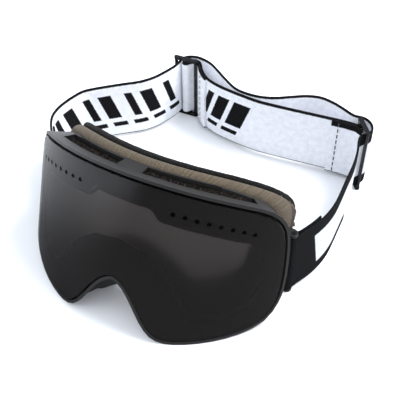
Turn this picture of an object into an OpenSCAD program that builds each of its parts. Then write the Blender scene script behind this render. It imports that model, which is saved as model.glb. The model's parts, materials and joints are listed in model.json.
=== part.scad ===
// Ski goggles with a cylindrical magnetic lens, lying on a table.
// The lens faces -Y, +X is the wearer's left and +Z is up from the table.
// The origin is on the table, under the middle of the whole object.

/* [Lens] */
// Radius of the cylinder that the outer lens follows
lens_radius = 103.5; // [102:0.1:105]
// Thickness of the tinted outer lens
outer_lens_t = 1.4; // [1.0:0.1:1.6]
// Thickness of the clear inner lens
inner_lens_t = 0.9; // [0.6:0.1:1.2]
// Radius of one vent hole in the outer lens
vent_hole_r = 1.4; // [1.0:0.1:1.8]
// Number of vent holes on each side
vent_hole_count = 8; // [4:1:9]
// Depth of the lens carrier behind the outer lens
carrier_t = 3.4; // [3.0:0.1:3.8]

/* [Frame] */
// Backward tilt of the lens cylinder as the goggles lie on the table
tilt = 19.5; // [15:0.5:24]
// Height of the lens's top centre datum above the table
datum_height = 65.75; // [60:0.25:75]
// Gap between the lens edge and the rim
rim_gap = 1.2; // [0.8:0.1:1.6]
// Distance from the lens edge to the outside of the rim
rim_out = 3.2; // [3.0:0.1:4.4]
// Thickness of the wall behind the rim
wall_t = 2.6; // [2.0:0.1:3.2]
// Width of the seat that holds the lens by its magnets
seat_w = 8; // [6:0.5:10]

/* [Face foam] */
// Radius of the face curve where the foam is glued to the frame
face_r = 95; // [92:0.5:98]
// Thickness of the firm foam layer
foam_t = 10.4; // [8:0.2:12]

/* [Strap] */
// Width of the elastic webbing
strap_w = 48; // [40:1:50]
// Thickness of the elastic webbing
strap_t = 1.6; // [1.2:0.1:1.8]
// Height of the webbing's lower edge above the table
strap_z = 2.5; // [2.3:0.1:3]
// Radius of the bar that the webbing is sewn round
bar_r = 1.5; // [1.2:0.1:1.6]

/* [Adjusters] */
// Radius of an adjuster's upright bars
slider_bar_r = 1.3; // [1.0:0.1:1.4]
// Distance between an adjuster's upright bars
slider_pitch = 8; // [7.5:0.1:9]
// Thickness of an adjuster's top and bottom rails
rail_t = 2.1; // [1.6:0.1:2.2]

/* [Hidden] */

$fn = 96;
lens_axis = [6.3, 18.3];                     // where the lens cylinder's axis meets the lens top
lens_top = 100;                              // lens height above its lowest point
outer_back = lens_radius - outer_lens_t;     // back of the outer lens
carrier_front = outer_back - 0.1;
carrier_back = carrier_front - carrier_t;
seat_front = carrier_back - 0.4;
seat_back = seat_front - 1.6;
rim_front = lens_radius - 0.9;
inner_front = carrier_back + inner_lens_t;   // front of the inner lens
face_y = 10;                                 // centre of the face curve
flange_t = 1.8;
carrier_inset = 0.8;                         // how far the carrier stays inside the lens edge
gasket_w = 3.4;
lens_foam_w = 4.8;                           // foam strip behind the vent holes
vent_foam_t = 3;
vent_pad_t = 2.1;                            // how far the vent foam stands up into its window
vent_gap = 0.4;                              // gap between a vent foam and its window
foam_front_r = 90.3;                         // vent foam stays outside this radius, clear of the flange
fleece_y = 18;                               // centre of the fleece's back curve
fleece_r = 86;
frame_end_r = face_r + flange_t + 0.3;       // where the front frame stops
rim_rise = 0.42;                             // slope of the rim's underside, to clear the table

// Half of the lens outline, from the top centre round to the nose.
// Each point is the arc length along the cylinder and the height.
LENS_HALF = [
    [0, 100], [25, 99.3], [50, 97], [72, 93.6], [88, 89.4], [98, 82], [103, 72],
    [106.3, 55], [107.8, 38], [106, 27], [99, 16.8], [84, 10], [66, 5],
    [50, 1.5], [38, 0], [30, 2.2], [23, 10], [16, 21], [9, 30], [0, 35]
];
// Half of the foam outline, seen from the front, matched to the lens points
FACE_HALF = [
    [0, 104.5], [23, 104], [44, 102], [59, 98], [70, 92], [77, 83], [79.2, 72],
    [79, 58], [77.8, 45], [74.5, 34], [68, 25], [59, 18.5], [48.5, 14],
    [40, 11], [32, 9.4], [25.5, 8.8], [20, 8.3], [14.5, 9], [8, 14.5], [0, 19]
];
// Half of the opening that the wearer's face looks through
OPENING_HALF = [
    [0, 91.5], [23, 91], [42, 89], [54, 85.5], [62, 79.5], [65.6, 71], [66, 61], [64.8, 51],
    [61.5, 42.5], [55.5, 35], [47.5, 29.5], [40.5, 27], [34.5, 27.5], [29, 31], [22.5, 37],
    [15.5, 42], [8, 45], [0, 46]
];
// Half of the clear window inside the lens carrier
WINDOW_HALF = [
    [0, 88.5], [18, 88.5], [24, 82], [52, 79], [80, 74], [89, 66], [92, 52],
    [90, 38], [84, 25], [70, 16], [54, 14], [44, 19], [35, 34], [26, 45], [16, 53], [0, 56]
];
// Magnets: arc length, height and turn about the lens's normal
MAGNETS = [
    [0, 95.2, 0], [62, 90.4, 8], [-62, 90.4, -8], [99.6, 56, 86], [-99.6, 56, -86],
    [86, 16.8, -24], [-86, 16.8, 24], [44, 6.2, -8], [-44, 6.2, 8], [0, 41, 0]
];
magnet = [12, 3.6, 1.5];                     // length, height and thickness
magnet_play = 0.1;                           // gap on each face of a magnet
body_h = 120;                                // height of the solids that outlines are cut from

// Vent holes of the lens: angle of the first, step between two, height and how it drops sideways
hole_start = 17.3;
hole_step = 3.867;
hole_top = 87.8;
hole_drop = 0.00481;

// ---- curves ----

function mirrored(half) = concat(
    half, [for (i = [len(half) - 2 : -1 : 1]) [-half[i][0], half[i][1]]]);

function spline(a, b, c, d, t) =
    0.5 * (2 * b + (c - a) * t + (2 * a - 5 * b + 4 * c - d) * t * t
        + (3 * b - a - 3 * c + d) * t * t * t);

function smooth_loop(p, steps) = [
    for (i = [0 : len(p) - 1], j = [0 : steps - 1])
        let (n = len(p))
        spline(p[(i + n - 1) % n], p[i], p[(i + 1) % n], p[(i + 2) % n], j / steps)];

function smooth_path(p, steps) = concat(
    [for (i = [0 : len(p) - 2], j = [0 : steps - 1])
        spline(p[max(i - 1, 0)], p[i], p[i + 1], p[min(i + 2, len(p) - 1)], j / steps)],
    [p[len(p) - 1]]);

function unit(v) = v / norm(v);
function left_of(v) = [-v[1], v[0]];

// Outward normal at each point of a clockwise loop
function loop_normals(p) = [
    for (i = [0 : len(p) - 1])
        let (n = len(p))
        left_of(unit(p[(i + 1) % n] - p[(i + n - 1) % n]))];

// A loop moved outward by d
function grown(p, d) = let (n = loop_normals(p)) [for (i = [0 : len(p) - 1]) p[i] + d * n[i]];

LENS = smooth_loop(mirrored(LENS_HALF), 2);
LENS_N = loop_normals(LENS);
FACE = smooth_loop(mirrored(FACE_HALF), 2);
FACE_N = loop_normals(FACE);
OPENING = smooth_loop(mirrored(OPENING_HALF), 2);
WINDOW = mirrored(WINDOW_HALF);

// Arc length and height to a front view, for edges that lie at radius r
function front_view(p, r) = [for (q = p) [r * sin(q[0] / lens_radius * 180 / PI), q[1]]];

// A point at arc length s, radius r and height z round the lens axis
function on_cylinder(s, r, z) =
    let (a = s / lens_radius * 180 / PI) [r * sin(a), -r * cos(a), z];

// ---- placing ----

// From a plan centred on the lens axis to the object's own origin
module placed() {
    translate([lens_axis[0], lens_axis[1], 0]) children();
}

// From the goggles' own upright frame to the table
module lying() {
    placed() translate([0, 0, datum_height]) rotate([-tilt, 0, 0]) translate([0, 0, -lens_top]) children();
}

module round_axis(s, z) {
    rotate([0, 0, s / lens_radius * 180 / PI]) translate([0, 0, z]) children();
}

module front_prism(outline) {
    rotate([90, 0, 0]) linear_extrude(height = body_h) polygon(outline);
}

module shell(r_in, r_out) {
    difference() {
        cylinder(r = r_out, h = body_h);
        translate([0, 0, -1]) cylinder(r = r_in, h = body_h + 2);
    }
}

// A plate that follows the lens cylinder, cut to an outline that is true at radius r_edge
module lens_plate(r_in, r_out, outline, r_edge) {
    intersection() {
        shell(r_in, r_out);
        front_prism(front_view(outline, r_edge));
    }
}

// ---- lens assembly ----

// Arc length and height of vent hole i on the right side
function hole_at(i) =
    let (a = hole_start + hole_step * i) [a * PI / 180 * lens_radius, hole_top - hole_drop * a * a];

module vent_holes(r) {
    for (side = [-1, 1], i = [0 : vent_hole_count - 1])
        round_axis(side * hole_at(i)[0], hole_at(i)[1])
            rotate([90, 0, 0]) cylinder(r = r, h = 110, $fn = 24);
}

module outer_lens() {
    color([0.13, 0.13, 0.14])
        lying() difference() {
            lens_plate(outer_back, lens_radius, LENS, outer_back + 0.4);
            vent_holes(vent_hole_r);
        }
}

// A strip behind one row of vent holes, between two radii
module hole_strip(side, r_in, r_out, w) {
    row = [for (i = [-0.45 : 0.99 : vent_hole_count]) hole_at(i)];
    lens_plate(r_in, r_out, [for (q = strip(row, w)) [side * q[0], q[1]]], lens_radius);
}

module magnet_blocks(r_mid, t, grow) {
    for (m = MAGNETS)
        round_axis(m[0], m[1]) translate([0, -r_mid, 0]) rotate([0, m[2], 0])
            cube([magnet[0] + grow, t, magnet[1] + grow], center = true);
}

module lens_carrier() {
    color([0.05, 0.05, 0.055])
        lying() difference() {
            lens_plate(carrier_back, carrier_front, grown(LENS, -carrier_inset), carrier_back);
            front_prism(front_view(WINDOW, lens_radius));
            for (side = [-1, 1]) hole_strip(side, carrier_back - 1, carrier_front + 1, lens_foam_w + 0.2);
            // pockets, open at the back
            magnet_blocks(carrier_back + magnet[2] / 2 - 0.5, magnet[2] + 1.2, 3 * magnet_play);
        }
}

module lens_magnets() {
    color("silver") lying()
        magnet_blocks(carrier_back + magnet[2] / 2 + 0.05, magnet[2] - 2 * magnet_play, 0);
}

// Open-cell foam in the carrier's slot, behind one row of vent holes
module lens_vent_foam(side) {
    color([0.08, 0.07, 0.06]) lying() hole_strip(side, carrier_back + 0.1, carrier_front - 0.05, lens_foam_w);
}

module lens_gasket() {
    color([0.08, 0.08, 0.08])
        lying() difference() {
            lens_plate(inner_front + 0.05, outer_back - 0.05, grown(WINDOW, -0.2), lens_radius);
            front_prism(front_view(grown(WINDOW, -gasket_w), lens_radius));
        }
}

module inner_lens() {
    color([0.75, 0.78, 0.8, 0.4])
        lying() lens_plate(carrier_back, inner_front, grown(WINDOW, -0.2), lens_radius);
}

// ---- frame ----

// A closed ring whose cross-section is given by loops of matched points
module ring(loops) {
    n = len(loops[0]);
    k = len(loops);
    polyhedron(
        points = [for (i = [0 : n - 1], j = [0 : k - 1]) loops[j][i]],
        faces = [
            for (i = [0 : n - 1], j = [0 : k - 1], half = [0, 1])
                let (a = i * k + j, b = i * k + (j + 1) % k,
                    c = ((i + 1) % n) * k + (j + 1) % k, d = ((i + 1) % n) * k + j)
                half == 0 ? [a, b, c] : [a, c, d]]);
}

// How far the rim stands outside the lens edge, less towards the back under the lens
function rim_edge(i, r) = rim_out - (rim_front - r) * max(0.06, -rim_rise * LENS_N[i][1]);

function lens_loop(r, out) = [
    for (i = [0 : len(LENS) - 1])
        let (q = LENS[i] + out * LENS_N[i]) on_cylinder(q[0], r, q[1])];

function rim_loop(r, inward) = [
    for (i = [0 : len(LENS) - 1])
        let (q = LENS[i] + (rim_edge(i, r) - inward) * LENS_N[i]) on_cylinder(q[0], r, q[1])];

function face_loop(r, inward) = [
    for (i = [0 : len(FACE) - 1])
        let (q = FACE[i] - inward * FACE_N[i])
        [q[0], face_y - sqrt(r * r - q[0] * q[0]), q[1]]];

// Vent windows: the angles round the lens axis at which each starts and ends
TOP_RIGHT = [4, 45];
TOP_LEFT = [-38, -6];
LOW_RIGHT = [16, 42];
LOW_LEFT = [-42, -16];
// The heights and radii between which the top and the bottom windows are cut
TOP_Z = [85, 112];
LOW_Z = [-10, 30];
TOP_R = [88.4, seat_back - 0.3];
LOW_R = [91.5, seat_back - 0.6];

// One window through the wall, between two angles, two heights and two radii
module vent_window(angles, z, r) {
    translate([0, 0, z[0]]) rotate([0, 0, angles[0] - 90])
        rotate_extrude(angle = angles[1] - angles[0])
            translate([r[0], 0]) square([r[1] - r[0], z[1] - z[0]]);
}

module front_frame() {
    color([0.30, 0.30, 0.31])
        lying() difference() {
            ring([
                rim_loop(rim_front, 0),
                lens_loop(rim_front, rim_gap),
                lens_loop(seat_front, rim_gap - 0.6),
                lens_loop(seat_front, -seat_w),
                lens_loop(seat_back, -seat_w),
                rim_loop(seat_back, wall_t),
                face_loop(frame_end_r, 0.8 + wall_t),
                face_loop(frame_end_r, 0.8),
                rim_loop(seat_back + 0.8, 0)
            ]);
            for (angles = [TOP_RIGHT, TOP_LEFT]) vent_window(angles, TOP_Z, TOP_R);
            for (angles = [LOW_RIGHT, LOW_LEFT]) vent_window(angles, LOW_Z, LOW_R);
        }
}

module frame_magnets() {
    color("silver") lying()
        magnet_blocks((seat_front + seat_back) / 2, magnet[2] - 2 * magnet_play, 0);
}

// A ring on the face curve between two radii, from the foam outline in to the opening
module face_ring(y_in, r_in, y_out, r_out, inset, open) {
    difference() {
        intersection() {
            difference() {
                translate([0, y_out, 0]) cylinder(r = r_out, h = body_h);
                translate([0, y_in, -1]) cylinder(r = r_in, h = body_h + 2);
            }
            front_prism(grown(FACE, -inset));
        }
        front_prism(grown(OPENING, open));
    }
}

module face_flange() {
    color([0.10, 0.10, 0.10])
        lying() face_ring(face_y, face_r + 0.05, face_y, face_r + flange_t, 1.5, 0);
}

module face_foam() {
    color([0.42, 0.37, 0.30])
        lying() face_ring(face_y, face_r - foam_t, face_y, face_r, 0, 0.5);
}

module face_fleece() {
    color([0.06, 0.06, 0.06])
        lying() face_ring(fleece_y, fleece_r, face_y, face_r - foam_t - 0.05, 0.6, 0);
}

// The space inside the frame's wall, drawn in by d
module inside_wall(d) {
    intersection() {
        front_prism(front_view(grown(LENS, 0.6 - d), seat_back));
        front_prism(grown(FACE, -wall_t - 1.2 - d));
    }
}

// Pad of open-cell foam glued into one window, standing a little inside the wall
module vent_foam(angles, z, r) {
    color([0.12, 0.10, 0.09])
        lying() difference() {
            intersection() {
                vent_window(
                    [angles[0] + 0.3, angles[1] - 0.3], z,
                    [max(r[0] + vent_gap, foam_front_r), r[1] - vent_gap]);
                inside_wall(-vent_pad_t);
            }
            inside_wall(vent_foam_t);
        }
}

// ---- strap brackets and bars ----

bar_xy = [86, -50];                          // middle of the right bar, which stands upright
plate_x = 79.9;                              // inner face of the plate on the frame's side
plate_t = 2.2;
lug_t = 2.0;
lug_r = 3.2;
lug_top = strap_z + strap_w + 0.5;
// The plate seen from the side, leaning with the frame
PLATE = [[-72.6, 8], [-66, 0], [-46.5, 0], [-46.5, lug_top + lug_t], [-56.2, lug_top + lug_t]];

module strap_bracket(side) {
    color([0.09, 0.09, 0.09])
        placed() mirror([side < 0 ? 1 : 0, 0, 0])
        difference() {
            union() {
                translate([plate_x, 0, 0]) rotate([90, 0, 90]) linear_extrude(height = plate_t)
                    polygon(PLATE);
                for (z = [0, lug_top]) {
                    translate([plate_x + 0.1, bar_xy[1] - lug_r, z])
                        cube([bar_xy[0] - plate_x - 0.1, 2 * lug_r + 0.3, lug_t]);
                    translate([bar_xy[0], bar_xy[1], z]) cylinder(r = lug_r, h = lug_t, $fn = 48);
                }
            }
            translate([bar_xy[0], bar_xy[1], -1]) cylinder(r = bar_r, h = 70, $fn = 48);
        }
}

module strap_bar(side) {
    color("silver")
        placed() translate([side * bar_xy[0], bar_xy[1], 0])
            cylinder(r = bar_r, h = lug_top + lug_t, $fn = 48);
}

// ---- webbing ----

function arc(c, r, a0, a1, n) = [
    for (i = [0 : n]) let (a = a0 + (a1 - a0) * i / n) c + r * [cos(a), sin(a)]];

// The two sides of a strip of thickness t round a path
function strip(p, t) =
    let (n = len(p),
        side = [for (i = [0 : n - 1]) left_of(unit(p[min(i + 1, n - 1)] - p[max(i - 1, 0)]))])
    concat(
        [for (i = [0 : n - 1]) p[i] + side[i] * t / 2],
        [for (i = [n - 1 : -1 : 0]) p[i] - side[i] * t / 2]);

module webbing(path) {
    translate([0, 0, strap_z]) linear_extrude(height = strap_w) polygon(strip(path, strap_t));
}

function reversed(p) = [for (i = [len(p) - 1 : -1 : 0]) p[i]];
function part(p, i0, i1) = [for (i = [i0 : i1]) p[i]];
function first(p, n) = part(p, 0, n - 1);
function last(p, n) = part(p, len(p) - n, len(p) - 1);

// A path moved sideways to its left by d
function beside(p, d) =
    let (n = len(p))
    [for (i = [0 : n - 1]) p[i] + d * left_of(unit(p[min(i + 1, n - 1)] - p[max(i - 1, 0)]))];

layer_gap = strap_t + 0.35;                  // between the middles of two sewn layers
end_loop_r = bar_r + 0.15 + strap_t / 2;
fold_r = slider_bar_r + 0.15 + strap_t / 2;

slider_r_xy = [90.3, 66];
slider_r_dir = 127;     // direction of the bars, from the outer bar to the inner one
slider_l_xy = [-57.2, 79.5];
slider_l_dir = 3.5;

// The long webbing: sewn round the right bar, through both adjusters, to the left bar
LONG_RIGHT = [
    [90.3, -45], [93.3, -38], [96, -30], [98, -20.5], [98.8, -10], [98.3, 2], [97.4, 15],
    [96.3, 30], [94.2, 43], [92, 51], [90.9, 56.5], [92.1, 60.3], [94.7, 63.4], [96, 67],
    [95, 71.5], [91.5, 76], [86, 78.3], [79, 77.8], [69.3, 81.8], [60, 84.9], [50.3, 85.9],
    [40.9, 82.8], [31, 76.6], [22, 70.6], [12, 66.6], [1, 65.4]
];
LONG_LEFT = [
    [-9, 67], [-20, 73.5], [-32, 82], [-38.3, 86.2], [-44.5, 88.6], [-52, 89.6], [-58.5, 87.3],
    [-61.6, 83.2], [-62, 79], [-62, 74.5], [-62.8, 69], [-65.5, 60], [-69.3, 50.5],
    [-75.6, 41.6], [-83.8, 34.3], [-92, 27], [-99.6, 19.8], [-106.4, 12.2], [-109.4, 3],
    [-111, -6], [-111.4, -14], [-109.9, -22], [-106.5, -28.5], [-101.5, -35], [-95.5, -41],
    [-90.8, -45.8]
];
LONG = smooth_path(concat(LONG_RIGHT, LONG_LEFT), 3);

module long_strap() {
    color("white") placed() webbing(concat(
        reversed(beside(first(LONG, 8), layer_gap)),
        arc(bar_xy, end_loop_r, 135, 360, 12),
        LONG,
        arc([-bar_xy[0], bar_xy[1]], end_loop_r, 180, 405, 12),
        reversed(beside(last(LONG, 8), layer_gap))));
}

// The back webbing: sewn round the centre bar of each adjuster
BACK_MAIN = [
    [85, 68.2], [76, 68], [62, 66.4], [44.5, 64.2], [28, 62.3], [13.5, 61], [0, 61.6],
    [-12, 62.8], [-23, 64.8], [-33, 68.6], [-40.6, 75.2], [-44.4, 80.5], [-47.6, 84.2],
    [-51.6, 85], [-55, 83.6]
];
BACK = smooth_path(BACK_MAIN, 3);

module back_strap() {
    color("white") placed() webbing(concat(
        reversed(beside(first(BACK, 6), layer_gap)),
        arc(slider_r_xy, fold_r, -100, 90, 12),
        BACK,
        arc(slider_l_xy, fold_r, 110, 335, 14),
        [[-53.6, 81.1]],
        reversed(beside(part(BACK, len(BACK) - 16, len(BACK) - 5), layer_gap))));
}

// A column of stitches through two layers of webbing
module seam(xy, angle, depth) {
    stitch = 3.2;
    pitch = 5.2;
    for (i = [0 : 8])
        translate([xy[0], xy[1], strap_z + 3.2 + i * pitch]) rotate([0, 0, angle])
            cube([0.7, depth, stitch], center = true);
}

module end_stitching() {
    color([0.1, 0.1, 0.1]) placed() {
        seam([92.9, -37], -24, 4.2);
        seam([-96.3, -39.2], 45, 4.2);
    }
}

module fold_stitching() {
    color([0.2, 0.2, 0.22]) placed() {
        seam([72.5, 66.5], 5, 4.4);
        seam([-39.8, 71.9], -42, 4.4);
    }
}

// ---- adjusters ----

module slider_rail(z) {
    translate([0, 0, z]) linear_extrude(height = rail_t)
        union() {
            square([2 * slider_pitch, 3.4], center = true);
            for (x = [-slider_pitch, slider_pitch]) translate([x, 0]) circle(r = 1.7, $fn = 32);
        }
}

module slider(xy, angle) {
    top = strap_z + strap_w + 0.4;
    color([0.06, 0.06, 0.06])
        placed() translate([xy[0], xy[1], 0]) rotate([0, 0, angle]) {
            slider_rail(0);
            slider_rail(top);
            for (x = [-slider_pitch, 0, slider_pitch])
                translate([x, 0, rail_t / 2]) cylinder(r = slider_bar_r, h = top, $fn = 32);
        }
}

outer_lens();
lens_gasket();
inner_lens();
lens_carrier();
lens_magnets();
lens_vent_foam(1);  // lens_vent_foam_right
lens_vent_foam(-1);  // lens_vent_foam_left
front_frame();
frame_magnets();
face_flange();
face_foam();
face_fleece();
vent_foam(TOP_RIGHT, TOP_Z, TOP_R);  // top_vent_foam_right
vent_foam(TOP_LEFT, TOP_Z, TOP_R);  // top_vent_foam_left
vent_foam(LOW_RIGHT, LOW_Z, LOW_R);  // bottom_vent_foam_right
vent_foam(LOW_LEFT, LOW_Z, LOW_R);  // bottom_vent_foam_left
strap_bracket(1);  // strap_bracket_right
strap_bracket(-1);  // strap_bracket_left
strap_bar(1);  // strap_bar_right
strap_bar(-1);  // strap_bar_left
long_strap();
back_strap();
end_stitching();
fold_stitching();
slider(slider_r_xy, slider_r_dir);  // slider_right
slider(slider_l_xy, slider_l_dir);  // slider_left
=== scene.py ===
import json
import math

import bmesh
import bpy
from mathutils import Matrix, Vector, noise

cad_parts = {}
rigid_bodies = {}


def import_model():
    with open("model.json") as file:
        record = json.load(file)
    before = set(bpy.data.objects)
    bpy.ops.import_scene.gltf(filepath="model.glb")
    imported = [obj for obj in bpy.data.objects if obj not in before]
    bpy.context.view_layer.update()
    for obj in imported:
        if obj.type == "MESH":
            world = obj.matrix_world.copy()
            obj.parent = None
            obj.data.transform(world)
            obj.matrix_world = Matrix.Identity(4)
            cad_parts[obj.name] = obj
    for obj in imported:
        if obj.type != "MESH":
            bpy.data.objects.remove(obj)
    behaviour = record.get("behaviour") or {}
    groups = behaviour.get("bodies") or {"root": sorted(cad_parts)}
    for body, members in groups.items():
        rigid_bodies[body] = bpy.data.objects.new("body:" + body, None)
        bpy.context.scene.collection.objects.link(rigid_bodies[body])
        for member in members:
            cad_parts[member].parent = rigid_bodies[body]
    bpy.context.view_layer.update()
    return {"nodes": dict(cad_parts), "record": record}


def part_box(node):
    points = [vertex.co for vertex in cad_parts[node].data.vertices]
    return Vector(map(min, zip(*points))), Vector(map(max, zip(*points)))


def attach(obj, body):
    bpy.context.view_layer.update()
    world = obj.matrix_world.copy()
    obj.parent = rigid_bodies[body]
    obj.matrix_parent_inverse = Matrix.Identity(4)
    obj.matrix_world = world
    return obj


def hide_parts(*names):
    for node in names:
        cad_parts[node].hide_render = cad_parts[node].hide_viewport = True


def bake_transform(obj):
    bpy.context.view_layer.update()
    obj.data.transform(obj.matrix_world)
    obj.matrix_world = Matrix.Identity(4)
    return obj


MM = 0.001

for leftover in list(bpy.data.objects):
    bpy.data.objects.remove(leftover)

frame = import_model()
NODES = frame["nodes"]
STRAP_LOW, STRAP_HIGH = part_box("long_strap")
STRAP_W = (STRAP_HIGH.z - STRAP_LOW.z) / MM

# All in millimetres.
WEBBING_T = 1.6
RIB_PITCH = 1.15            # between the webbing's ribs, which run along it
PICK_PITCH = 0.95           # between its cross yarns
BORDER_WOBBLE = 0.8         # how far a woven border strays from its line
SAMPLE_STEP = 1.5           # between the points that webbing is swept through
FACE_AXIS_BACK = 97.3       # from the lens seat's centre back to the axis of the face curve
RING_CENTRE_DOWN = 14       # from the lens seat's centre down to the middle of the face ring
RING_RADIUS = 70            # of the face ring, about
LOOP_MIDDLE = -86           # from the right end bar to the middle of the strap's loop, along x
WELD = 1e-6                 # in metres: vertices closer than this are one

# Two places by each end of the long strap, from its bar, and which way it would bend. The parts table below
# carries them, and nothing uses them.
END_BENDS = {
    "right": ((3, 4), (12, 45)),
    "left": ((-3, 4), (-23, 45)),
}

# The camera, as azimuth towards +X and elevation in degrees, and its place in millimetres.
CAMERA_AZIMUTH = 27.625
CAMERA_ELEVATION = 44.9725
CAMERA_FROM_LOOP = Vector((183.4, -356.9, 397.7))
CAMERA_LENS = 70.2
CAMERA_SENSOR = 36


# ---------------------------------------------------------------- node graphs

class Graph:
    """A short way to write shader nodes: each call adds one node and returns its output."""

    def __init__(self, name):
        self.material = bpy.data.materials.new(name)
        self.material.use_nodes = True
        self.tree = self.material.node_tree
        self.bsdf = self.tree.nodes["Principled BSDF"]
        self.place = self.tree.nodes.new("ShaderNodeTexCoord").outputs["Object"]

    def feed(self, socket, value):
        if isinstance(value, bpy.types.NodeSocket):
            self.tree.links.new(value, socket)
        else:
            socket.default_value = value

    def math(self, operation, a, b=0.0, c=0.0):
        n = self.tree.nodes.new("ShaderNodeMath")
        n.operation = operation
        for socket, value in zip(n.inputs, (a, b, c)):
            self.feed(socket, value)
        return n.outputs[0]

    def attribute(self, name):
        n = self.tree.nodes.new("ShaderNodeAttribute")
        n.attribute_name = name
        return n.outputs["Fac"]

    def seen_in_reflection(self):
        return self.tree.nodes.new("ShaderNodeLightPath").outputs["Is Glossy Ray"]

    def noise(self, scale, detail=3.0, vector=None):
        n = self.tree.nodes.new("ShaderNodeTexNoise")
        n.inputs["Scale"].default_value = scale
        n.inputs["Detail"].default_value = detail
        self.feed(n.inputs["Vector"], vector or self.place)
        return n.outputs["Fac"]

    def cells(self, scale, vector=None):
        n = self.tree.nodes.new("ShaderNodeTexVoronoi")
        n.inputs["Scale"].default_value = scale
        self.feed(n.inputs["Vector"], vector or self.place)
        return n.outputs["Distance"]

    def ramp(self, value, low, high, out_low=0.0, out_high=1.0):
        n = self.tree.nodes.new("ShaderNodeMapRange")
        n.interpolation_type = "SMOOTHSTEP"
        self.feed(n.inputs["Value"], value)
        for key, number in (("From Min", low), ("From Max", high), ("To Min", out_low), ("To Max", out_high)):
            n.inputs[key].default_value = number
        return n.outputs["Result"]

    def mix(self, factor, a, b):
        n = self.tree.nodes.new("ShaderNodeMix")
        n.data_type = "RGBA"
        self.feed(n.inputs[0], factor)
        for socket, value in ((n.inputs[6], a), (n.inputs[7], b)):
            self.feed(socket, (*value, 1.0) if isinstance(value, tuple) else value)
        return n.outputs[2]

    def combine(self, x, y, z=0.0):
        n = self.tree.nodes.new("ShaderNodeCombineXYZ")
        for socket, value in zip(n.inputs, (x, y, z)):
            self.feed(socket, value)
        return n.outputs[0]

    def bump(self, height, strength, distance_mm):
        n = self.tree.nodes.new("ShaderNodeBump")
        n.inputs["Strength"].default_value = strength
        n.inputs["Distance"].default_value = distance_mm * MM
        self.feed(n.inputs["Height"], height)
        self.feed(self.bsdf.inputs["Normal"], n.outputs["Normal"])

    def set(self, **values):
        for key, value in values.items():
            name = key.replace("_", " ")
            socket = next(s for s in self.bsdf.inputs if s.name.lower() == name)
            self.feed(socket, (*value, 1.0) if isinstance(value, tuple) else value)


# ---------------------------------------------------------------- hard materials

def smoke_lens():
    g = Graph("smoke_lens_looks")
    smudge = g.noise(30, 2)
    g.set(base_color=(0.0045, 0.0035, 0.003), ior=1.45, alpha=0.66)
    g.set(roughness=g.ramp(smudge, 0.35, 0.75, 0.015, 0.06))
    return g.material


def clear_lens():
    g = Graph("clear_lens_looks")
    haze = g.noise(60, 2)
    g.set(base_color=(0.92, 0.82, 0.76), ior=1.2, transmission_weight=1.0)
    g.set(roughness=g.ramp(haze, 0.3, 0.7, 0.42, 0.5))
    return g.material


def dull_plastic():
    """The lens carrier, seen only through the tinted lens: flat black with slow cloudy wear."""
    g = Graph("carrier_looks")
    g.set(base_color=g.mix(g.noise(25, 3), (0.005, 0.005, 0.0055), (0.009, 0.009, 0.0095)))
    g.set(roughness=0.9, specular_ior_level=0.05)
    return g.material


def moulded(name, color, roughness, grain, gloss_marks=0.06):
    """Moulded plastic: fine spark-eroded grain, slight colour drift and rubbed patches."""
    g = Graph(name)
    drift = g.noise(25, 3)
    fine = g.noise(2600, 2)
    rubbed = g.ramp(g.noise(90, 4), 0.55, 0.8)
    light = tuple(min(1.0, 1.18 * c + 0.004) for c in color)
    g.set(base_color=g.mix(drift, color, light), ior=1.48)
    rough = g.math("SUBTRACT", g.ramp(fine, 0.3, 0.7, roughness - 0.05, roughness + 0.05),
                   g.math("MULTIPLY", rubbed, gloss_marks))
    g.set(roughness=rough)
    g.bump(fine, grain, 0.05)
    return g.material


def metal(name, color, roughness, stretch):
    """Drawn or plated metal, with fine lines along z when stretch is above 1."""
    g = Graph(name)
    split = g.tree.nodes.new("ShaderNodeSeparateXYZ")
    g.feed(split.inputs[0], g.place)
    lines = g.noise(1500, 2, g.combine(split.outputs[0], split.outputs[1],
                                       g.math("DIVIDE", split.outputs[2], stretch)))
    g.set(base_color=g.mix(lines, color, tuple(0.8 * c for c in color)), metallic=1.0)
    g.set(roughness=g.ramp(lines, 0.3, 0.7, roughness, roughness + 0.15))
    g.bump(lines, 0.15, 0.03)
    return g.material


# ---------------------------------------------------------------- soft materials

def napped_foam():
    """Taupe foam skin: short nap, with fine wrinkles across the roll."""
    g = Graph("taupe_foam_looks")
    nap = g.noise(1400, 4)
    ribs = g.noise(1, 3, g.combine(g.math("MULTIPLY", g.attribute("along"), 0.75), 0.0))
    tone = g.math("ADD", g.math("MULTIPLY", nap, 0.5), g.math("MULTIPLY", ribs, 0.5))
    g.set(base_color=g.mix(g.ramp(tone, 0.3, 0.7), (0.046, 0.035, 0.024), (0.125, 0.100, 0.072)))
    g.set(roughness=0.95, specular_ior_level=0.1, sheen_weight=0.10, sheen_roughness=0.5)
    g.bump(g.math("ADD", nap, g.math("MULTIPLY", ribs, 1.4)), 0.8, 0.5)
    return g.material


def fleece():
    g = Graph("black_fleece_looks")
    tufts = g.noise(1100, 5)
    g.set(base_color=g.mix(g.ramp(tufts, 0.4, 0.75), (0.0025, 0.0025, 0.0025), (0.011, 0.0105, 0.010)))
    g.set(roughness=1.0, specular_ior_level=0.05, sheen_weight=0.05, sheen_roughness=0.6)
    g.bump(g.math("ADD", tufts, g.cells(800)), 0.9, 0.6)
    return g.material


def open_cell_foam(name, strut, relief):
    g = Graph(name)
    pores = g.cells(650)
    g.set(base_color=g.mix(g.ramp(pores, 0.15, 0.55), strut, (0.002, 0.0015, 0.0015)))
    g.set(roughness=0.95, specular_ior_level=0.1)
    g.bump(pores, 0.9, relief)
    return g.material


def gasket_foam():
    g = Graph("gasket_foam_looks")
    pores = g.cells(1500)
    g.set(base_color=g.mix(pores, (0.02, 0.02, 0.02), (0.008, 0.008, 0.008)), roughness=0.9)
    g.bump(pores, 0.5, 0.2)
    return g.material


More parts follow.
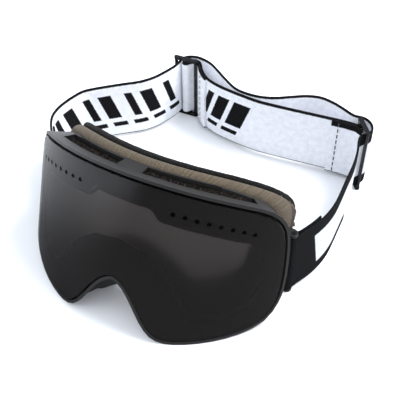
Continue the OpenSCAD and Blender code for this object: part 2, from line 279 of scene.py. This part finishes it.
def thread(name, color):
    g = Graph(name)
    twist = g.noise(4000, 2)
    g.set(base_color=g.mix(twist, color, tuple(1.8 * c for c in color)), roughness=0.8)
    g.bump(twist, 0.6, 0.1)
    return g.material


def band(g, value, low, high, soft=0.35):
    """1 where value lies between low and high, in millimetres."""
    rise = g.ramp(value, low - soft, low + soft)
    fall = g.ramp(value, high - soft, high + soft, 1.0, 0.0)
    return g.math("MULTIPLY", rise, fall)


def ink(g, along, across, side, outside, marks, blocks, pale, black_outside):
    """1 where the webbing is black."""
    wobble = g.math("MULTIPLY", g.math("SUBTRACT", g.noise(900, 2), 0.5), BORDER_WOBBLE)

    def area(first, last, bottom, top, slant):
        skewed = g.math("SUBTRACT", g.math("ADD", along, wobble), g.math("MULTIPLY", across, slant))
        return g.math("MULTIPLY", band(g, skewed, first, last),
                      band(g, g.math("ADD", across, wobble), bottom, top))

    black = 0.0
    for where in blocks:
        black = g.math("MAXIMUM", black, area(*where))
    if black_outside:
        black = g.math("ABSOLUTE", g.math("SUBTRACT", black, outside))
    for where in pale:
        cleared = g.math("MULTIPLY", area(*where), outside)
        black = g.math("MULTIPLY", black, g.math("SUBTRACT", 1.0, cleared))
    for which, *where in marks:
        mark = area(*where)
        if which:
            on_side = g.math("GREATER_THAN", g.math("MULTIPLY", side, which), 0.0)
            mark = g.math("MULTIPLY", mark, on_side)
        black = g.math("MAXIMUM", black, mark)
    return black


def webbing(name, marks, blocks=(), pale=(), black_outside=True):
    """Ribbed elastic webbing, white inside and, as a two-tone weave is, black outside.
    An area is (first, last, bottom, top, slant), with first and last measured along the strap at its
    lower edge. Blocks are areas that swap the two tones, and pale areas are white outside, in a white painted
    darker there as shade.
    A mark is black whatever lies there, and starts with its side: 1, -1, or 0 for both.
    Side 1 is the long strap's inside. The back strap's points run the other way, so there it is the
    outside, and a strap with black_outside off makes no difference between its sides."""
    g = Graph(name)
    along, across, side = g.attribute("along"), g.attribute("across"), g.attribute("side")
    outside = g.math("LESS_THAN", side, 0.0)
    black = ink(g, along, across, side, outside, marks, blocks, pale, black_outside)
    ribs = g.math("SINE", g.math("MULTIPLY", across, 2 * math.pi / RIB_PITCH))
    picks = g.math("SINE", g.math("MULTIPLY", along, 2 * math.pi / PICK_PITCH))
    knit = g.math("MULTIPLY", g.math("ADD", ribs, 1.0), g.math("ADD", picks, 1.0))
    yarn = g.noise(1, 4, g.combine(g.math("MULTIPLY", along, 0.9), g.math("MULTIPLY", across, 2.2), side))
    soft = g.noise(1, 2, g.combine(g.math("MULTIPLY", along, 0.25), g.math("MULTIPLY", across, 0.25), side))
    shade = g.math("ADD", g.math("MULTIPLY", yarn, 0.55), g.math("MULTIPLY", soft, 0.45))
    tone = g.ramp(shade, 0.3, 0.62)
    bright_white = g.mix(tone, (0.74, 0.77, 0.84), (0.90, 0.91, 0.95))
    # The outside face's white is the same yarn painted darker: painted shade that holds back the stronger
    # light falling on the outside.
    painted_shade_outer_white = g.mix(tone, (0.46, 0.48, 0.53), (0.58, 0.59, 0.62))
    white = g.mix(outside if black_outside else 0.0, bright_white, painted_shade_outer_white)
    dark = g.mix(g.ramp(yarn, 0.35, 0.7), (0.003, 0.003, 0.0035), (0.014, 0.014, 0.016))
    g.set(base_color=g.mix(black, white, dark), roughness=0.9, specular_ior_level=0.1)
    height = g.math("ADD", g.math("MULTIPLY", knit, 0.25), g.math("MULTIPLY", yarn, 0.8))
    g.bump(g.math("ADD", height, g.math("MULTIPLY", black, 0.4)), 0.55, 0.3)
    return g.material


# ---------------------------------------------------------------- mesh helpers

def new_piece(name, bm, material):
    """A smooth-shaded object made from a bmesh."""
    mesh = bpy.data.meshes.new(name)
    bm.normal_update()
    bm.to_mesh(mesh)
    bm.free()
    piece = bpy.data.objects.new(name, mesh)
    bpy.context.scene.collection.objects.link(piece)
    mesh.materials.append(material)
    for face in mesh.polygons:
        face.use_smooth = True
    return piece


def dress(node, material):
    """Gives a carried-over CAD node its material."""
    materials = NODES[node].data.materials
    materials.clear()
    materials.append(material)


def soften(node, width_mm, segments=2, angle=30):
    """Rounds a CAD node's hard edges with modifiers, and leaves its mesh alone."""
    obj = NODES[node]
    weld = obj.modifiers.new("weld", "WELD")
    weld.merge_threshold = WELD
    bevel = obj.modifiers.new("edges", "BEVEL")
    bevel.width = width_mm * MM
    bevel.segments = segments
    bevel.limit_method = "ANGLE"
    bevel.angle_limit = math.radians(angle)
    bevel.harden_normals = False


def shade_evenly(node):
    """Shades a CAD node's small triangles as the curved surface they stand for. Its bevels keep the
    hard edges."""
    obj = NODES[node]
    normals = obj.data.attributes.get("custom_normal")
    if normals:
        obj.data.attributes.remove(normals)
    for face in obj.data.polygons:
        face.use_smooth = True
    obj.modifiers["edges"].harden_normals = True


def apply_modifiers(piece):
    depsgraph = bpy.context.evaluated_depsgraph_get()
    mesh = bpy.data.meshes.new_from_object(piece.evaluated_get(depsgraph))
    piece.modifiers.clear()
    piece.data = mesh


# ---------------------------------------------------------------- padded foam

def remeshed_copy(name, node, voxel_mm, shrink_mm, material, relaxed=4):
    """A copy of a CAD soft solid with an even mesh and rounded edges, drawn in a little."""
    bm = bmesh.new()
    bm.from_mesh(NODES[node].data)
    bmesh.ops.remove_doubles(bm, verts=bm.verts, dist=WELD)
    piece = new_piece(name, bm, material)
    voxels = piece.modifiers.new("voxels", "REMESH")
    voxels.mode = "VOXEL"
    voxels.voxel_size = voxel_mm * MM
    relax = piece.modifiers.new("relax", "SMOOTH")
    relax.factor = 0.5
    relax.iterations = relaxed
    apply_modifiers(piece)
    piece.data.materials.clear()
    piece.data.materials.append(material)
    normals = [v.normal.copy() for v in piece.data.vertices]
    for v, normal in zip(piece.data.vertices, normals):
        v.co -= normal * shrink_mm * MM
    return piece


def goggles_frame():
    """Where the face curve's axis meets the lens top datum, and the goggles' own right, back and up."""
    seat = next(m for m in frame["record"]["mounts"] if m["name"] == "lens_seat")
    front = Vector(seat["axis"]).normalized()
    back = -front
    right = Vector((1, 0, 0))
    up = right.cross(back)
    return Vector(seat["pos_m"]), right, back, up


def rounded_edge(piece, middle_mm, half_mm, depth_mm):
    """Draws a ring's outer face in towards its front and back edges, so that it is half round.
    middle_mm is how far behind the lens seat the ring's middle lies, at the goggles' centre.
    It also writes how far round the ring each point is, which its wrinkles follow."""
    origin, right, back, up = goggles_frame()
    normals = [v.normal.copy() for v in piece.data.vertices]
    along = piece.data.attributes.new("along", "FLOAT", "POINT")
    for v, normal in zip(piece.data.vertices, normals):
        at = v.co - origin
        x, y = at.dot(right) / MM, at.dot(back) / MM
        along.data[v.index].value = math.atan2(at.dot(up) / MM + RING_CENTRE_DOWN, x) * RING_RADIUS
        radius = math.hypot(x, FACE_AXIS_BACK - y)
        share = (FACE_AXIS_BACK - middle_mm - radius) / half_mm
        flat = Vector((normal.dot(right), normal.dot(up)))
        drawn = depth_mm * (1 - math.sqrt(max(0.0, 1 - min(1.0, abs(share)) ** 2)))
        v.co -= (right * flat.x + up * flat.y) * drawn * MM


def roughen(piece, amount_mm, size_mm):
    """Moves each point along its normal by smooth noise."""
    normals = [v.normal.copy() for v in piece.data.vertices]
    for v, normal in zip(piece.data.vertices, normals):
        v.co += normal * amount_mm * MM * noise.noise(v.co / (size_mm * MM))


def padded(name, node, voxel_mm, shrink_mm, relaxed, material):
    """A soft ring of the face seal, with the same place in the frame as its CAD solid."""
    piece = remeshed_copy(name, node, voxel_mm, shrink_mm, material, relaxed)
    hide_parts(node)
    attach(piece, "frame")
    return piece


# ---------------------------------------------------------------- webbing from the CAD strips

def midline(node):
    """The middle line of a CAD strip of webbing, as points in millimetres, from its upper outline."""
    bm = bmesh.new()
    bm.from_mesh(NODES[node].data)
    bmesh.ops.remove_doubles(bm, verts=bm.verts, dist=WELD)
    top = max(v.co.z for v in bm.verts)
    follow = {}
    for edge in bm.edges:
        flat = all(abs(v.co.z - top) < 1e-5 for v in edge.verts)
        if flat and any(abs(f.normal.z) < 0.5 for f in edge.link_faces):
            a, b = edge.verts
            follow.setdefault(a, []).append(b)
            follow.setdefault(b, []).append(a)
    start = next(iter(follow))
    loop = [start, follow[start][0]]
    while len(loop) < len(follow):
        a, b = follow[loop[-1]]
        loop.append(b if a is loop[-2] else a)
    points = [v.co.xy / MM for v in loop]
    bm.free()
    half = len(points) // 2

    def skew(k):
        """How unlike a straight-cut end the edge after point k and the one opposite are."""
        pairs = ((points[k], points[(k + 1) % len(points)]),
                 (points[(k + half) % len(points)], points[(k + half + 1) % len(points)]))
        ends = [(q - p).length for p, q in pairs]
        further_in = (4, 9, 17, 25)
        inner = [(points[(k + 1 + i) % len(points)] - points[(k - i) % len(points)]).length
                 for i in further_in]
        return sum(abs(width - WEBBING_T) for width in ends + inner)

    k = min(range(half), key=skew)
    left = [points[(k + 1 + i) % len(points)] for i in range(half)]
    right = [points[(k - i) % len(points)] for i in range(half)]
    return [(a + b) / 2 for a, b in zip(left, right)]


def resample(path, step):
    """Evenly spaced points along a path, with their distance from its start."""
    lengths = [0.0]
    for a, b in zip(path, path[1:]):
        lengths.append(lengths[-1] + (b - a).length)
    count = max(2, int(lengths[-1] / step))
    out = []
    k = 0
    for i in range(count + 1):
        s = lengths[-1] * i / count
        while k < len(path) - 2 and lengths[k + 1] < s:
            k += 1
        t = (s - lengths[k]) / max(1e-9, lengths[k + 1] - lengths[k])
        out.append((path[k].lerp(path[k + 1], min(1.0, max(0.0, t))), s))
    return out


def nearest(samples, place):
    """Index of the sample closest to a place on the table."""
    return min(range(len(samples)), key=lambda i: (samples[i][0] - place).length)


def cross_section():
    """Half the strip's edge, as (height share from 0 to 1, share of the thickness)."""
    rows = [(0.0, 0.30), (0.012, 0.85), (0.03, 1.0)]
    rows += [(0.03 + 0.94 * i / 20, 1.0) for i in range(1, 20)]
    return rows + [(0.97, 1.0), (0.988, 0.85), (1.0, 0.30)]


def strip(name, samples, first, last, material, ripple=0.0):
    """A length of webbing between two samples, standing on its edge, closed at both ends.
    Side 1 is to the left of the way its points run. ripple is how far it strays from its line."""
    bm = bmesh.new()
    layers = {key: bm.verts.layers.float.new(key) for key in ("along", "across", "side")}
    rows = cross_section()
    rings = []
    for i in range(first, last + 1):
        here, s = samples[i]
        ahead = samples[min(i + 1, len(samples) - 1)][0]
        behind = samples[max(i - 1, 0)][0]
        direction = (ahead - behind).normalized()
        out = Vector((-direction.y, direction.x))
        ring = []
        for side in (1, -1):
            for share, thick in (rows if side > 0 else reversed(rows)):
                wave = ripple * noise.noise(Vector((s * 0.03, share * 1.6, 7.0)))
                at = here + out * (side * thick * WEBBING_T / 2 + wave)
                z = STRAP_LOW.z / MM + share * STRAP_W
                v = bm.verts.new(Vector((at.x, at.y, z)) * MM)
                v[layers["along"]] = s
                v[layers["across"]] = share * STRAP_W
                v[layers["side"]] = side
                ring.append(v)
        rings.append(ring)
    for a, b in zip(rings, rings[1:]):
        for j in range(len(a)):
            k = (j + 1) % len(a)
            bm.faces.new((a[j], a[k], b[k], b[j]))
    half = len(rows)
    for ring in (rings[0], rings[-1]):
        for j in range(half - 1):
            bm.faces.new((ring[j], ring[j + 1], ring[-2 - j], ring[-1 - j]))
        for j in range(len(ring)):
            bm.edges.get((ring[j], ring[(j + 1) % len(ring)])).smooth = False
    bmesh.ops.recalc_face_normals(bm, faces=bm.faces)
    return new_piece(name, bm, material)


# ---------------------------------------------------------------- dressing the hard parts

def dress_hard_parts():
    dress("outer_lens", smoke_lens())
    dress("inner_lens", clear_lens())
    dress("lens_carrier", dull_plastic())
    dress("front_frame", moulded("frame_looks", (0.0125, 0.0118, 0.0112), 0.40, 0.12))
    dress("face_flange", moulded("flange_looks", (0.012, 0.011, 0.011), 0.6, 0.12))
    nylon = moulded("nylon_looks", (0.005, 0.005, 0.005), 0.42, 0.12)
    steel = metal("bar_looks", (0.035, 0.035, 0.037), 0.3, 12)
    plate = metal("magnet_looks", (0.10, 0.10, 0.105), 0.3, 1)
    gloss = moulded("adjuster_looks", (0.005, 0.005, 0.006), 0.22, 0.06)
    for side in ("right", "left"):
        dress(f"strap_bracket_{side}", nylon)
        dress(f"strap_bar_{side}", steel)
        dress(f"slider_{side}", gloss)
        soften(f"strap_bracket_{side}", 0.4)
        soften(f"slider_{side}", 0.45, 3)
    dress("lens_magnets", plate)
    dress("frame_magnets", plate)
    soften("front_frame", 0.35, 2, 40)
    shade_evenly("front_frame")


# ---------------------------------------------------------------- soft parts of the frame

def build_foams():
    foam = padded("face_foam_roll", "face_foam", 0.8, -0.3, 80, napped_foam())
    rounded_edge(foam, 7.5, 5.6, 4.4)
    pile = padded("face_fleece_pad", "face_fleece", 0.7, -0.3, 80, fleece())
    for piece in (foam, pile):
        for face in piece.data.polygons:
            face.use_smooth = True
    cells = open_cell_foam("vent_foam_looks", (0.024, 0.018, 0.013), 0.7)
    dark_cells = open_cell_foam("lens_foam_looks", (0.0015, 0.0012, 0.001), 0.1)
    for row in ("top", "bottom"):
        for side in ("right", "left"):
            build_thin_foam(f"{row}_vent_foam_{side}", 1.0, cells, "frame")
    for side in ("right", "left"):
        build_thin_foam(f"lens_vent_foam_{side}", 0.6, dark_cells, "lens")


def build_thin_foam(node, voxel_mm, material, body):
    """A cut sheet of open-cell foam, with soft corners and a pitted face."""
    piece = remeshed_copy(node + "_sheet", node, voxel_mm, 0.1, material)
    roughen(piece, 0.22, 0.9)
    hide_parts(node)
    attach(piece, body)


def build_gasket():
    piece = remeshed_copy("lens_gasket_tape", "lens_gasket", 0.9, 0.05, gasket_foam())
    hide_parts("lens_gasket")
    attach(piece, "lens")


# ---------------------------------------------------------------- strap

def centre(node):
    low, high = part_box(node)
    return (low + high).xy / 2 / MM


def spot(node, dx, dy):
    """A place on the table, in millimetres, seen from the middle of a piece of hardware."""
    return centre(node) + Vector((dx, dy))


def bend(piece):
    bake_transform(piece)


def along_at(samples, place):
    """How far along the strap its point nearest to a place lies."""
    return samples[nearest(samples, place)][1]


def long_strap_cuts(samples):
    """Where the long strap is cut in six: the numbers of its end samples and of five between."""
    places = (spot("strap_bar_right", 12.3, 52), spot("slider_right", 4.7, 5.5),
              spot("strap_bar_right", -85, 115.4), spot("slider_left", -4.4, 3.7),
              spot("strap_bar_left", -23.4, 53))
    return [0, *(nearest(samples, place) for place in places), len(samples) - 1]


def long_strap_looks(samples):
    """The webbing of the long strap's right, slack and left runs."""
    start = along_at(samples, spot("strap_bar_right", 7, 12))
    turn_right = along_at(samples, spot("slider_right", 3, -12))
    turn_left = along_at(samples, spot("slider_left", -10, -24))
    left_bar = along_at(samples, spot("strap_bar_left", -10, 12))
    end = samples[-1][1]
    # The first mark is the woven black border along the top edge. The two along the lower edge, on both faces
    # and wider outside, are painted shade where the strap stands on the floor.
    border_and_floor_shade = [(0, -10, end + 10, STRAP_W - 1.8, STRAP_W + 1, 0), (0, -10, end + 10, -1, 1.1, 0),
           (-1, -10, end + 10, -1, 2.2, 0)]
    bare_start = (0, -10, start + 9, -1, STRAP_W + 1, -0.2)
    bare_end = (0, left_bar - 14, end + 10, -1, STRAP_W + 1, 0.2)
    right_pale = [(start + 12, turn_right + 40, 9, 38, -0.2), (start + 62, turn_right, -2, 10, -0.2)]
    slack_pale = [(turn_right + 60 + 21 * i, turn_right + 71 + 21 * i, 11, 37, 0.35) for i in range(9)]
    left_blocks = []
    for i, width in enumerate((6, 10, 6, 10, 6, 10, 6, 10, 6)):
        first = turn_left - 22 + 16 * i
        left_blocks.append((first, first + width, 17, 39, 0.35))
        left_blocks.append((first - 2, first + 9, 9, 13, 0.35))
    return (webbing("right_webbing", [*border_and_floor_shade, bare_start], (), right_pale),
            webbing("slack_webbing", border_and_floor_shade, (), slack_pale),
            webbing("left_webbing", [*border_and_floor_shade, bare_end], left_blocks))


def build_long_strap():
    samples = resample(midline("long_strap"), SAMPLE_STEP)
    right, slack, left = long_strap_looks(samples)
    right_near, right_out = (spot("strap_bar_right", *at) for at in END_BENDS["right"])
    left_near, left_out = (spot("strap_bar_left", *at) for at in END_BENDS["left"])
    parts = (
        ("strap_right_front", right, "frame", "strap", right_near, right_out),
        ("strap_right_middle", right, "strap", "adjuster_right",
         spot("strap_bar_right", 12, 55), spot("slider_right", 2, -8)),
        ("strap_right_slack", slack, "strap", "adjuster_right",
         spot("slider_right", -60, 0), spot("slider_right", -8, 0)),
        ("strap_left_slack", slack, "strap", "adjuster_left",
         spot("slider_left", 42, 0), spot("slider_left", 14, 0)),
        ("strap_left_middle", left, "strap", "adjuster_left",
         spot("strap_bar_left", -23, 57), spot("slider_left", -6, -16)),
        ("strap_left_front", left, "strap", "frame", left_out, left_near),
    )
    cuts = long_strap_cuts(samples)
    for (name, look, a, b, begin, end), first, last in zip(parts, cuts, cuts[1:]):
        piece = strip(name, samples, first, last, look, 0.25)
        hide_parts("long_strap")
        bend(piece)


# Where each half of the back strap would bend, and the adjuster it goes with. build_back_strap reads them,
# and nothing uses them.
BACK_BENDS = {
    "right": ("adjuster_right", ("slider_right", -70, 0), ("slider_right", -14, 0)),
    "left": ("adjuster_left", ("slider_left", 50, 0), ("slider_left", 12, 0)),
}


def build_back_strap():
    samples = resample(midline("back_strap"), SAMPLE_STEP)
    middle_x = spot("strap_bar_right", LOOP_MIDDLE, 0).x
    middle = min(range(len(samples)), key=lambda i: abs(samples[i][0].x - middle_x))
    first_fold = along_at(samples, spot("slider_left", 18, 2))
    end = samples[-1][1]
    # The first and third marks are the woven black border along the top edge and at the tail. The second,
    # along the lower edge on both faces, is painted shade where the strap stands on the floor.
    marks = [(0, -10, end + 10, STRAP_W - 2.0, STRAP_W + 1, 0), (0, -10, end + 10, -1, 1.0, 0),
             (0, end - 24, end + 1, STRAP_W - 5.0, STRAP_W + 1, 0.0)]
    blocks = []
    begin = first_fold + 4
    for width in (6, 10, 14):
        blocks.append((begin, begin + width, 16, 39, 0.35))
        blocks.append((begin - 1, begin + width - 1, 8, 12, 0.35))
        begin += width + 4
    look = webbing("back_webbing", marks, blocks, black_outside=False)
    for name, side, first, last in (("back_strap_left", "left", 0, middle),
                                    ("back_strap_right", "right", middle, len(samples) - 1)):
        piece = strip(name, samples, first, last, look, 0.2)
        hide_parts("back_strap")
        body, begin, end = BACK_BENDS[side]
        bend(piece)


def stitches(name, node, side, material):
    """One side's stitches of a seam, taken from the CAD solids and rounded like thread."""
    middle = spot("strap_bar_right", LOOP_MIDDLE, 0).x * MM
    bm = bmesh.new()
    bm.from_mesh(NODES[node].data)
    bmesh.ops.remove_doubles(bm, verts=bm.verts, dist=WELD)
    other = [v for v in bm.verts if (v.co.x > middle) != (side == "right")]
    bmesh.ops.delete(bm, geom=other, context="VERTS")
    bmesh.ops.bevel(bm, geom=bm.edges[:], offset=0.22 * MM, segments=3, affect="EDGES", profile=0.5)
    piece = new_piece(name, bm, material)
    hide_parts(node)
    return piece


def build_stitching():
    black = thread("black_thread_looks", (0.01, 0.01, 0.01))
    grey = thread("grey_thread_looks", (0.05, 0.05, 0.06))
    pale = thread("pale_thread_looks", (0.42, 0.43, 0.45))
    for side in ("right", "left"):
        ends = stitches(f"end_stitches_{side}", "end_stitching", side, black)
        bend(ends)
        folds = stitches(f"fold_stitches_{side}", "fold_stitching", side,
                         grey if side == "right" else pale)
        bend(folds)


# ---------------------------------------------------------------- studio

def build_floor():
    g = Graph("floor_looks")
    split = g.tree.nodes.new("ShaderNodeSeparateXYZ")
    g.feed(split.inputs[0], g.place)
    # Seen in reflections, the floor is painted dark from x = -0.08 m on and pale below x = -0.30 m: a painted
    # reflection, as of a dark card. Seen directly it stays evenly pale.
    painted_reflection_shade = g.mix(g.ramp(split.outputs[0], -0.30, -0.08), (0.95, 0.96, 1.0), (0.22, 0.22, 0.23))
    g.set(base_color=g.mix(g.seen_in_reflection(), (0.93, 0.94, 0.96), painted_reflection_shade), roughness=0.9)
    bm = bmesh.new()
    bmesh.ops.create_grid(bm, x_segments=8, y_segments=8, size=3.0)
    mesh = bpy.data.meshes.new("floor")
    bm.to_mesh(mesh)
    bm.free()
    floor = bpy.data.objects.new("floor", mesh)
    mesh.materials.append(g.material)
    bpy.context.scene.collection.objects.link(floor)


def area_light(name, place, target, size, watts, color=(1, 1, 1)):
    data = bpy.data.lights.new(name, "AREA")
    data.shape = "DISK"
    data.size = size
    data.energy = watts
    data.color = color
    lamp = bpy.data.objects.new(name, data)
    lamp.location = place
    lamp.rotation_euler = (Vector(target) - Vector(place)).to_track_quat("-Z", "Y").to_euler()
    bpy.context.scene.collection.objects.link(lamp)


def build_studio():
    build_floor()
    world = bpy.data.worlds.new("studio")
    bpy.context.scene.world = world
    world.use_nodes = True
    tree = world.node_tree
    sky = tree.nodes["Background"]
    sky.inputs["Color"].default_value = (0.90, 0.94, 1.0, 1.0)
    path = tree.nodes.new("ShaderNodeLightPath")
    dim = tree.nodes.new("ShaderNodeMapRange")
    dim.inputs["To Min"].default_value = 1.25
    dim.inputs["To Max"].default_value = 0.38
    tree.links.new(path.outputs["Is Glossy Ray"], dim.inputs["Value"])
    tree.links.new(dim.outputs["Result"], sky.inputs["Strength"])
    area_light("key", (0.7, 0.5, 1.3), (0, 0, 0.03), 0.9, 30)
    area_light("fill", (-0.8, -0.9, 0.9), (0, -0.05, 0.03), 1.2, 4, (0.92, 0.95, 1.0))


def build_camera():
    """A longish lens from the front, the wearer's left and above."""
    home = spot("strap_bar_right", LOOP_MIDDLE, 50)
    azimuth, elevation = math.radians(CAMERA_AZIMUTH), math.radians(CAMERA_ELEVATION)
    level = Vector((math.sin(azimuth), -math.cos(azimuth), 0.0))
    right = Vector((math.cos(azimuth), math.sin(azimuth), 0.0))
    back = level * math.cos(elevation) + Vector((0, 0, math.sin(elevation)))
    up = back.cross(right)
    data = bpy.data.cameras.new("camera")
    data.lens = CAMERA_LENS
    data.sensor_width = CAMERA_SENSOR
    camera = bpy.data.objects.new("camera", data)
    camera.matrix_world = Matrix((right, up, back)).transposed().to_4x4()
    camera.location = (home.to_3d() + CAMERA_FROM_LOOP) * MM
    bpy.context.scene.collection.objects.link(camera)
    bpy.context.scene.camera = camera


dress_hard_parts()
build_foams()
build_gasket()
build_long_strap()
build_back_strap()
build_stitching()
build_studio()
build_camera()
bpy.context.scene.view_settings.view_transform = "Standard"
